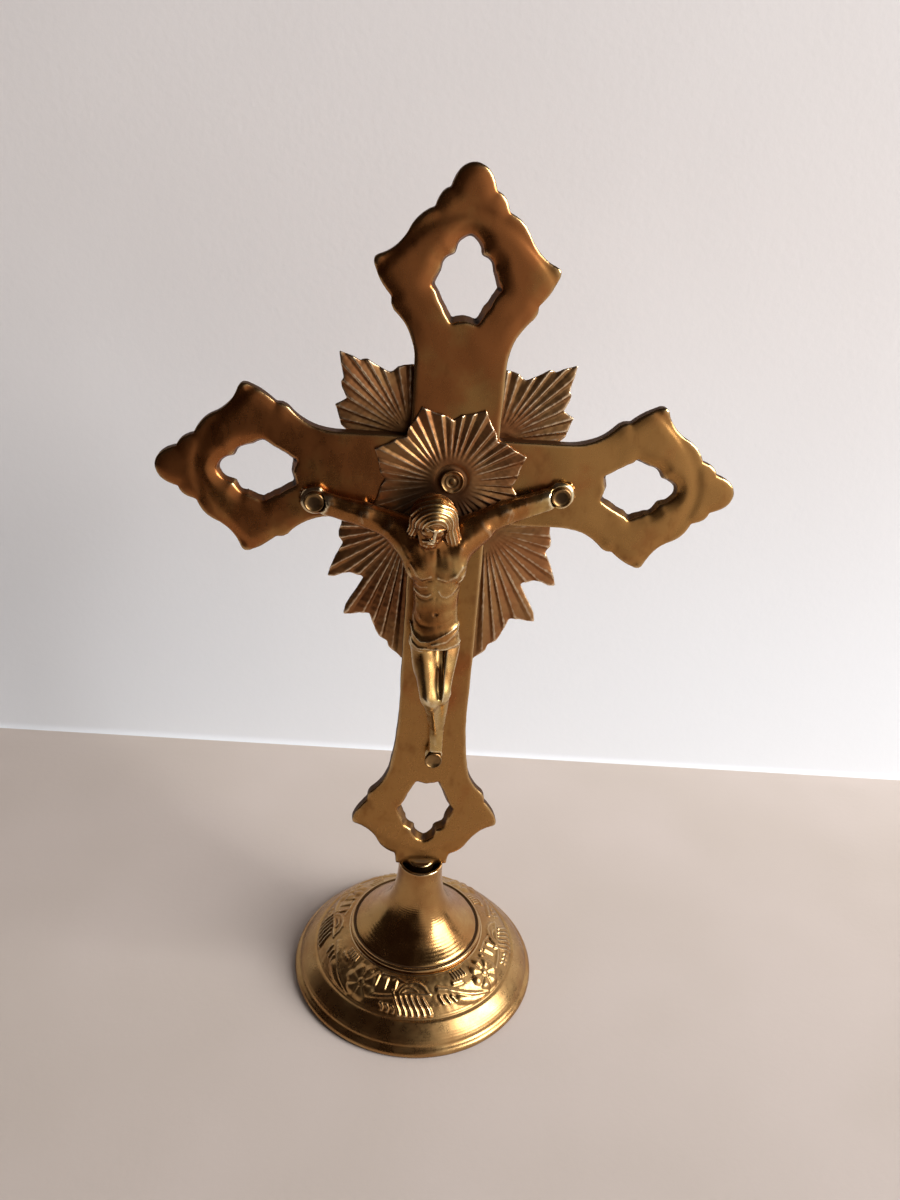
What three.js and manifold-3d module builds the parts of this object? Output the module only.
// Standing altar cross. A pierced cast cross carries a sunburst plate on its back, a nimbus and a figure on
// its front, all held by rivets. Its round tang drops into a bell-shaped neck on a stamped foot, and a stud,
// a spreader washer and a nut draw the three together from beneath.
// Millimetres, +Z up, origin at the centre of the foot's resting face, the figure faces -Y.
import * as THREE from 'three';
import { mergeVertices } from 'three/addons/utils/BufferGeometryUtils.js';
import Module from 'manifold-3d';

const wasm = await Module();
wasm.setup();

// ---- driving dimensions ----
const CROSSING_Z = 173;              // height of the crossing above the table
const ARM_REACH = 77;                // crossing to the tip of the upper and side arms
const ARM_HALF = 11.4;               // half width of the arms
const SHAFT_HALF = 10;               // half width of the shaft below the crossing
const FOOT_ARM_SHIFT = 58.8;          // how much further out the lower finial sits than the others
const CROSS_FRONT = -2;              // front face of the cross casting
const CROSS_BACK = 2;                // back face of the cross casting
const EDGE = 0.7;                    // rounding of the casting's edges
const SHOULDER_Z = 43.4;             // where the lower finial sits on the neck
const SHOULDER_HALF = 7.9;           // half width of the lower finial there
const TANG = { r: 4, bottom: 27, tapR: 2, tapTop: 41 };
const PLATE_BACK = 3.6;              // back face of the sunburst plate
const PLATE_WAIST = 24;              // half width of the sunburst plate behind the side arms
const NIMBUS = { x: -0.8, z: 172.8, front: -3.2, tip: 21.5, notch: 16.8, lobes: 8 };
const BOSS = [0, 173.7];              // where the centre rivet goes through nimbus, cross and plate
const HAND_FRONT = -4.3;             // front face of the figure's hands and feet at the rivets
const RIVET = { shank: 1.2, hole: 1.5, head: 2.65, tail: 2.1 };
const HEART = { shank: 1.6, hole: 1.9, head: 3.2, tail: 3 };
const LEFT_HAND = [-35.8, 166.4];
const RIGHT_HAND = [29.2, 171.2];
const FEET = [0.9, 86.2];
const BELL = { wall: 1, mouth: 7.1, lip: 21.8 };
const FOOT = { r: 40, seatZ: 16, wall: 1, hole: 2.6 };
const STUD = { r: 1.7, bottom: 7.4, top: 39 };
const WASHER = { r: 11, thick: 1.2 };
const NUT = { flats: 7, thick: 3.2 };
const ROUND = 48;                    // facets round the foot and the bell

// ---- materials ----
function metal(name, colour, roughness) {
  return new THREE.MeshStandardMaterial({ name, color: colour, roughness, metalness: 1 });
}
const castBrass = metal('cast_brass', 0x8a6532, 0.42);
const figureBrass = metal('figure_brass', 0xb08d4a, 0.34);
const spunBrass = metal('spun_brass', 0xa57f42, 0.3);
const rivetBrass = metal('rivet_brass', 0x97743c, 0.4);
const steel = metal('steel', 0x6f6a62, 0.5);

const model = new THREE.Group();
model.name = 'altar_cross';

function addPart(name, geometry, material) {
  const mesh = new THREE.Mesh(geometry, material);
  mesh.name = name;
  model.add(mesh);
}

// ---- solids: a closed geometry becomes a manifold solid, is joined or cut, and comes back ----
function solid(geometry) {
  const bare = geometry.index ? geometry.toNonIndexed() : geometry.clone();
  bare.deleteAttribute('normal');
  bare.deleteAttribute('uv');
  const merged = mergeVertices(bare, 1e-4);
  return new wasm.Manifold(new wasm.Mesh({
    numProp: 3,
    vertProperties: new Float32Array(merged.attributes.position.array),
    triVerts: new Uint32Array(merged.index.array),
  }));
}

function geometryOf(body) {
  const mesh = body.getMesh();
  const geometry = new THREE.BufferGeometry();
  geometry.setAttribute('position', new THREE.BufferAttribute(mesh.vertProperties, 3));
  geometry.setIndex(new THREE.BufferAttribute(mesh.triVerts, 1));
  geometry.computeVertexNormals();
  return geometry;
}

function joined(bodies) {
  return bodies.reduce((whole, body) => whole.add(body));
}

// A flat plate from an outline in X and Z, between two Y faces, its edges rounded by `edge`.
function plate(outline, holes, yFront, yBack, edge = 0) {
  const shape = new THREE.Shape(outline);
  for (const hole of holes) {
    shape.holes.push(new THREE.Path(hole));
  }
  const geometry = new THREE.ExtrudeGeometry(shape, {
    depth: yBack - yFront - 2 * edge,
    bevelEnabled: edge > 0,
    bevelThickness: edge,
    bevelSize: edge,
    bevelOffset: -edge,
    bevelSegments: 1,
  });
  geometry.rotateX(Math.PI / 2);
  geometry.translate(0, yBack - edge, 0);
  return solid(geometry);
}

// A turned piece from [radius, height] pairs along +Z.
function turned(profile, segments = ROUND) {
  const points = profile.map(([r, z]) => new THREE.Vector2(r, z));
  return new THREE.LatheGeometry(points, segments).rotateX(Math.PI / 2);
}

// The same, lying along +Y with its axis through x and z: profile pairs are [radius, y].
function turnedAcross(profile, [x, z], segments = 20) {
  const points = profile.map(([r, y]) => new THREE.Vector2(r, y));
  return new THREE.LatheGeometry(points, segments).translate(x, 0, z);
}

function drill([x, z], radius) {
  return solid(turnedAcross([[0, -20], [radius, -20], [radius, 20], [0, 20]], [x, z], 16));
}

// ---- outlines ----
// Half of a finial, from the arm's edge to the tip: u runs out from the crossing, v is the half width.
function finialHalf() {
  const path = new THREE.Path();
  path.moveTo(31, ARM_HALF);
  path.quadraticCurveTo(38.5, 11.9, 43, 17.2);
  path.quadraticCurveTo(44.6, 18.3, 46, 17.9);
  path.quadraticCurveTo(49.5, 21.2, 53.2, 22.4);
  path.quadraticCurveTo(54.7, 22.9, 55.2, 21.6);
  path.quadraticCurveTo(56.8, 17.2, 61, 14.7);
  path.quadraticCurveTo(65.4, 12.8, 66.8, 8.6);
  path.bezierCurveTo(69, 8.2, 70.9, 7.2, 71.3, 5.2);
  path.bezierCurveTo(74, 4.6, 76.8, 3.2, ARM_REACH, 0);
  return path.getPoints(3);
}

// Half of the lower finial stops at the shoulder that sits on the neck.
function lowerFinialHalf() {
  const shoulder = CROSSING_Z - SHOULDER_Z - FOOT_ARM_SHIFT;
  const points = finialHalf().filter((p) => p.x < shoulder - 2.4);
  points.push(new THREE.Vector2(shoulder, SHOULDER_HALF));
  return points.map((p) => new THREE.Vector2(p.x + FOOT_ARM_SHIFT, p.y));
}

// Half of the piercing in a finial, from its inner end to its outer end.
function piercingHalf(inner = 0) {
  const path = new THREE.Path();
  path.moveTo(42 - inner, 0);
  path.lineTo(41.2 - inner, 3.2);
  path.lineTo(45.5 - inner / 2, 5.8);
  path.quadraticCurveTo(48.4, 7.1, 49.3, 8.2);
  path.lineTo(53.5, 6.4);
  path.quadraticCurveTo(55.2, 6.4, 56, 5.2);
  path.lineTo(57, 3.4);
  path.quadraticCurveTo(59.6, 3.1, 60.8, 1.2);
  path.lineTo(61.2, 0);
  return path.getPoints(3);
}

// Turns (u, v) into (x, z) for the arm that points at `angle` degrees from +X.
function onArm(points, angle, side) {
  const turn = THREE.MathUtils.degToRad(angle);
  return points.map(({ x: u, y: v }) => new THREE.Vector2(
    u * Math.cos(turn) - side * v * Math.sin(turn),
    CROSSING_Z + u * Math.sin(turn) + side * v * Math.cos(turn),
  ));
}

function closedArm(half, angle) {
  const out = onArm(half, angle, -1);
  const back = onArm(half, angle, 1).reverse();
  const shareTip = half[half.length - 1].y < 1e-6;
  return out.concat(shareTip ? back.slice(1) : back);
}

function crossOutline() {
  const shaft = new THREE.Path();
  shaft.moveTo(ARM_HALF, SHAFT_HALF);
  shaft.lineTo(62, SHAFT_HALF);
  shaft.bezierCurveTo(72, 9.6, 80, 9.9, 31 + FOOT_ARM_SHIFT, ARM_HALF);
  const lowerHalf = shaft.getPoints(5).slice(0, -1).concat(lowerFinialHalf());
  const corner = new THREE.Vector2(ARM_HALF, ARM_HALF);
  const armHalf = [corner].concat(finialHalf());
  return [
    ...closedArm(armHalf, 0).slice(1),
    ...closedArm(armHalf, 90).slice(1),
    ...closedArm(armHalf, 180).slice(1, -1),
    ...closedArm(lowerHalf, 270),
  ];
}

function piercing(angle, shift = 0, inner = 0) {
  const half = piercingHalf(inner).map((p) => new THREE.Vector2(p.x + shift, p.y));
  const out = onArm(half, angle, -1);
  const back = onArm(half, angle, 1).reverse();
  return out.concat(back.slice(1, -1));
}

// ---- the cross casting, with its round tang ----
function cross() {
  const piercings = [piercing(0), piercing(90), piercing(180), piercing(270, FOOT_ARM_SHIFT, 2)];
  const casting = plate(crossOutline(), piercings, CROSS_FRONT, CROSS_BACK, EDGE);
  const { r, bottom, tapR, tapTop } = TANG;
  const tang = solid(turned([
    [0, tapTop], [tapR, tapTop], [tapR, bottom], [r - 0.5, bottom], [r, bottom + 0.5],
    [r, SHOULDER_Z + 0.6], [1, SHOULDER_Z + 4.4], [0, SHOULDER_Z + 4.4],
  ], 20));
  const bores = [drill(LEFT_HAND, RIVET.hole), drill(RIGHT_HAND, RIVET.hole), drill(FEET, RIVET.hole),
    drill(BOSS, HEART.hole)];
  return geometryOf(casting.add(tang).subtract(joined(bores)));
}

// ---- the sunburst plate behind the crossing: stepped ray ends above and below the side arms ----
const UPPER_RAYS = [[12, 201.9], [15.5, 201.1], [17.5, 199.6], [23.5, 202.6], [25, 202], [30.3, 204.1],
  [29.8, 201.1], [29, 197.6], [29.5, 195.4], [28, 192.4], [31, 190.6], [30, 187.6], [29.5, 185.6]];
const LOWER_RAYS = [[28.5, 159.2], [29.3, 155.7], [28, 152.2], [30, 148.2], [32, 142.2], [28, 143.4],
  [25.8, 143.5], [22, 142], [25.5, 135.7], [27.3, 130.7], [23, 131.2], [20, 131], [17, 124],
  [14.5, 122.2], [13, 119.2], [10, 116.2]];

function rayPlate() {
  const half = [...UPPER_RAYS, [PLATE_WAIST, 181], [PLATE_WAIST, 165], ...LOWER_RAYS];
  const right = half.map(([x, z]) => new THREE.Vector2(x, z));
  const left = half.map(([x, z]) => new THREE.Vector2(-x, z)).reverse();
  const sheet = plate(right.concat(left).reverse(), [], CROSS_BACK, PLATE_BACK);
  return geometryOf(sheet.subtract(drill(BOSS, HEART.hole)));
}

// ---- the nimbus: a rosette of pointed lobes on the front of the crossing ----
function nimbus() {
  const outline = [];
  const step = (2 * Math.PI) / NIMBUS.lobes;
  const shoulder = NIMBUS.notch + 1.6;
  const ring = [[-0.5, NIMBUS.notch], [-0.33, shoulder], [0, NIMBUS.tip], [0.33, shoulder]];
  for (let lobe = 0; lobe < NIMBUS.lobes; lobe += 1) {
    const middle = (lobe + 0.5) * step;
    for (const [turn, radius] of ring) {
      const angle = middle + turn * step;
      outline.push(new THREE.Vector2(
        NIMBUS.x + radius * Math.cos(angle),
        NIMBUS.z + radius * Math.sin(angle),
      ));
    }
  }
  const rosette = plate(outline, [], NIMBUS.front, CROSS_FRONT);
  return geometryOf(rosette.subtract(drill(BOSS, HEART.hole)));
}

// ---- rivets: a dished head in front, a shank, and a peened tail behind ----
function rivet(place, { shank, head, tail }, yFront, yBack) {
  const rise = 1.4;
  return turnedAcross([
    [0, yFront - rise + 0.5], [head - 0.9, yFront - rise + 0.4], [head - 0.3, yFront - rise],
    [head, yFront - rise + 0.4], [head, yFront], [shank, yFront], [shank, yBack], [tail, yBack],
    [tail - 0.4, yBack + 0.8], [0, yBack + 1.2],
  ], place);
}

// ---- the figure, cast in one piece, hands and feet flat on the cross ----
function ball([x, y, z], radii) {
  return solid(new THREE.SphereGeometry(1, 12, 8).scale(...radii).translate(x, y, z));
}

// A limb is a tapered round bar with round ends from one point to another.
function limb(from, to, rFrom, rTo) {
  const a = new THREE.Vector3(...from);
  const b = new THREE.Vector3(...to);
  const length = a.distanceTo(b);
  const steps = 3;
  const profile = [];
  for (let i = 0; i <= steps; i += 1) {
    const turn = (i / steps) * (Math.PI / 2);
    profile.push([rFrom * Math.sin(turn), -rFrom * Math.cos(turn)]);
  }
  for (let i = 0; i <= steps; i += 1) {
    const turn = (i / steps) * (Math.PI / 2);
    profile.push([rTo * Math.cos(turn), length + rTo * Math.sin(turn)]);
  }
  profile[0][0] = 0;
  profile[profile.length - 1][0] = 0;
  const bar = new THREE.LatheGeometry(profile.map(([r, y]) => new THREE.Vector2(r, y)), 10);
  const along = b.clone().sub(a).normalize();
  const turn = new THREE.Quaternion().setFromUnitVectors(new THREE.Vector3(0, 1, 0), along);
  bar.applyQuaternion(turn);
  bar.translate(a.x, a.y, a.z);
  return solid(bar);
}

function pad([x, z], rx, rz) {
  const disc = new THREE.CylinderGeometry(1, 1, CROSS_FRONT - HAND_FRONT, 16).scale(rx, 1, rz);
  return solid(disc.translate(x, (CROSS_FRONT + HAND_FRONT) / 2, z));
}

function corpus() {
  const trunk = [
    ball([-3.2, -8.4, 155], [8, 5, 8.4]),
    ball([-2.6, -8, 143.5], [6, 4.4, 10.5]),
    ball([-2, -8, 131.6], [6.8, 4.9, 7.6]),
    limb([-4, -8.4, 159], [-5, -10.4, 163.5], 3, 2.6),
    ball([-5.4, -12, 166.2], [5.6, 5.2, 7]),
  ];
  const arms = [
    limb([-10.6, -8, 160.4], [-23, -5.8, 165.2], 3.3, 2.8),
    limb([-23, -5.8, 165.2], [LEFT_HAND[0] + 2.5, -3.8, LEFT_HAND[1] + 0.4], 2.8, 2),
    limb([4, -8, 161.2], [14.8, -6, 166], 3.2, 2.8),
    limb([14.8, -6, 166], [RIGHT_HAND[0] - 2.5, -3.8, RIGHT_HAND[1] - 0.4], 2.8, 2),
    pad(LEFT_HAND, 4, 3.5),
    pad(RIGHT_HAND, 4, 3.5),
  ];
  const legs = [
    limb([-4.2, -7.4, 127.5], [-1.5, -12.2, 112.4], 4.4, 3),
    limb([-1.5, -12.2, 112.4], [0.4, -5.4, 96], 3, 2),
    limb([3.1, -7.4, 127.5], [3, -11.8, 113], 3.1, 2.4),
    limb([3, -11.8, 113], [2, -5, 96], 2.4, 1.7),
    limb([1.1, -5, 96], [FEET[0], -3.6, FEET[1] + 1], 2.3, 2.2),
    pad(FEET, 3.3, 4),
  ];
  const behind = solid(new THREE.BoxGeometry(120, 10, 140).translate(0, CROSS_FRONT + 5, 130));
  const overNimbus = drill([NIMBUS.x, NIMBUS.z], NIMBUS.tip + 0.8)
    .intersect(solid(new THREE.BoxGeometry(60, 4, 60).translate(0, NIMBUS.front + 1.6, NIMBUS.z)));
  const rivetSpace = [LEFT_HAND, RIGHT_HAND, FEET].map((place) => drill(place, RIVET.hole)
    .add(solid(turnedAcross([[0, -20], [3, -20], [3, HAND_FRONT], [0, HAND_FRONT]], place))));
  const figure = joined([...trunk, ...arms, ...legs]);
  return geometryOf(figure.subtract(behind).subtract(overNimbus).subtract(joined(rivetSpace)));
}

// ---- the spun bell: a straight neck that flares to a rolled lip on the foot ----
function bellOuter() {
  const flare = new THREE.SplineCurve([
    new THREE.Vector2(BELL.mouth, SHOULDER_Z), new THREE.Vector2(7.3, 39.4), new THREE.Vector2(7.8, 34.9),
    new THREE.Vector2(9.2, 29.7), new THREE.Vector2(11.9, 24.9), new THREE.Vector2(16.1, 20.9),
    new THREE.Vector2(BELL.lip - 0.9, 17.8),
  ]);
  return flare.getPoints(9).map((p) => [p.x, p.y]);
}

function neckBell() {
  const outer = bellOuter();
  const inner = outer.slice(0, -1).map(([r, z], i) => {
    const slope = Math.min(i / (outer.length - 2), 1);
    return [r - BELL.wall * (1 - 0.3 * slope), z - BELL.wall * slope];
  });
  inner[0][1] = SHOULDER_Z;
  const lip = [[BELL.lip, 17.3], [BELL.lip, FOOT.seatZ], [BELL.lip - 1.6, FOOT.seatZ], [BELL.lip - 2.2, 17]];
  const ring = [...outer, ...lip, ...inner.reverse()];
  return turned([...ring, ring[0]].reverse());
}

// ---- the stamped foot: a flat web, the ornamented band, a plain flange and a rolled rim ----
function footDish() {
  const web = FOOT.seatZ - FOOT.wall;
  return turned([
    [FOOT.hole, web], [20, web], [23, 14.6], [27.4, 12.4], [31.6, 8.3], [34.6, 6.3], [37, 3.4], [37.4, 1.4],
    [37.4, 0], [39.6, 0], [FOOT.r, 0.8], [39.8, 1.6], [38.8, 2.3], [38.2, 3.6], [35.6, 6.8], [33, 8.3],
    [32.4, 9.2], [30.6, 11.4], [27.8, 13.5], [25, 15], [22.6, FOOT.seatZ], [FOOT.hole, FOOT.seatZ],
    [FOOT.hole, web],
  ]);
}

// ---- the fastening under the foot ----
function stud() {
  const { r, bottom, top } = STUD;
  return turned(
    [[0, bottom], [r - 0.4, bottom], [r, bottom + 0.4], [r, top - 0.4], [r - 0.4, top], [0, top]], 20);
}

function washer() {
  const top = FOOT.seatZ - FOOT.wall;
  const low = top - WASHER.thick;
  const hole = STUD.r + 0.3;
  return turned([[hole, low], [WASHER.r, low], [WASHER.r, top], [hole, top], [hole, low]], 32);
}

function nut() {
  const top = FOOT.seatZ - FOOT.wall - WASHER.thick;
  const block = new THREE.CylinderGeometry(NUT.flats / Math.sqrt(3), NUT.flats / Math.sqrt(3), NUT.thick, 6);
  block.rotateX(Math.PI / 2).translate(0, 0, top - NUT.thick / 2);
  const bore = solid(turned([[0, 0], [STUD.r + 0.3, 0], [STUD.r + 0.3, 30], [0, 30]], 20));
  return geometryOf(solid(block).subtract(bore));
}

addPart('cross', cross(), castBrass);
addPart('ray_plate', rayPlate(), castBrass);
addPart('nimbus', nimbus(), castBrass);
addPart('centre_rivet', rivet(BOSS, HEART, NIMBUS.front, PLATE_BACK), rivetBrass);
addPart('corpus', corpus(), figureBrass);
addPart('left_hand_rivet', rivet(LEFT_HAND, RIVET, HAND_FRONT, CROSS_BACK), rivetBrass);
addPart('right_hand_rivet', rivet(RIGHT_HAND, RIVET, HAND_FRONT, CROSS_BACK), rivetBrass);
addPart('feet_rivet', rivet(FEET, RIVET, HAND_FRONT, CROSS_BACK), rivetBrass);
addPart('neck_bell', neckBell(), spunBrass);
addPart('foot_dish', footDish(), spunBrass);
addPart('threaded_stud', stud(), steel);
addPart('spreader_washer', washer(), steel);
addPart('hex_nut', nut(), steel);

export default model;
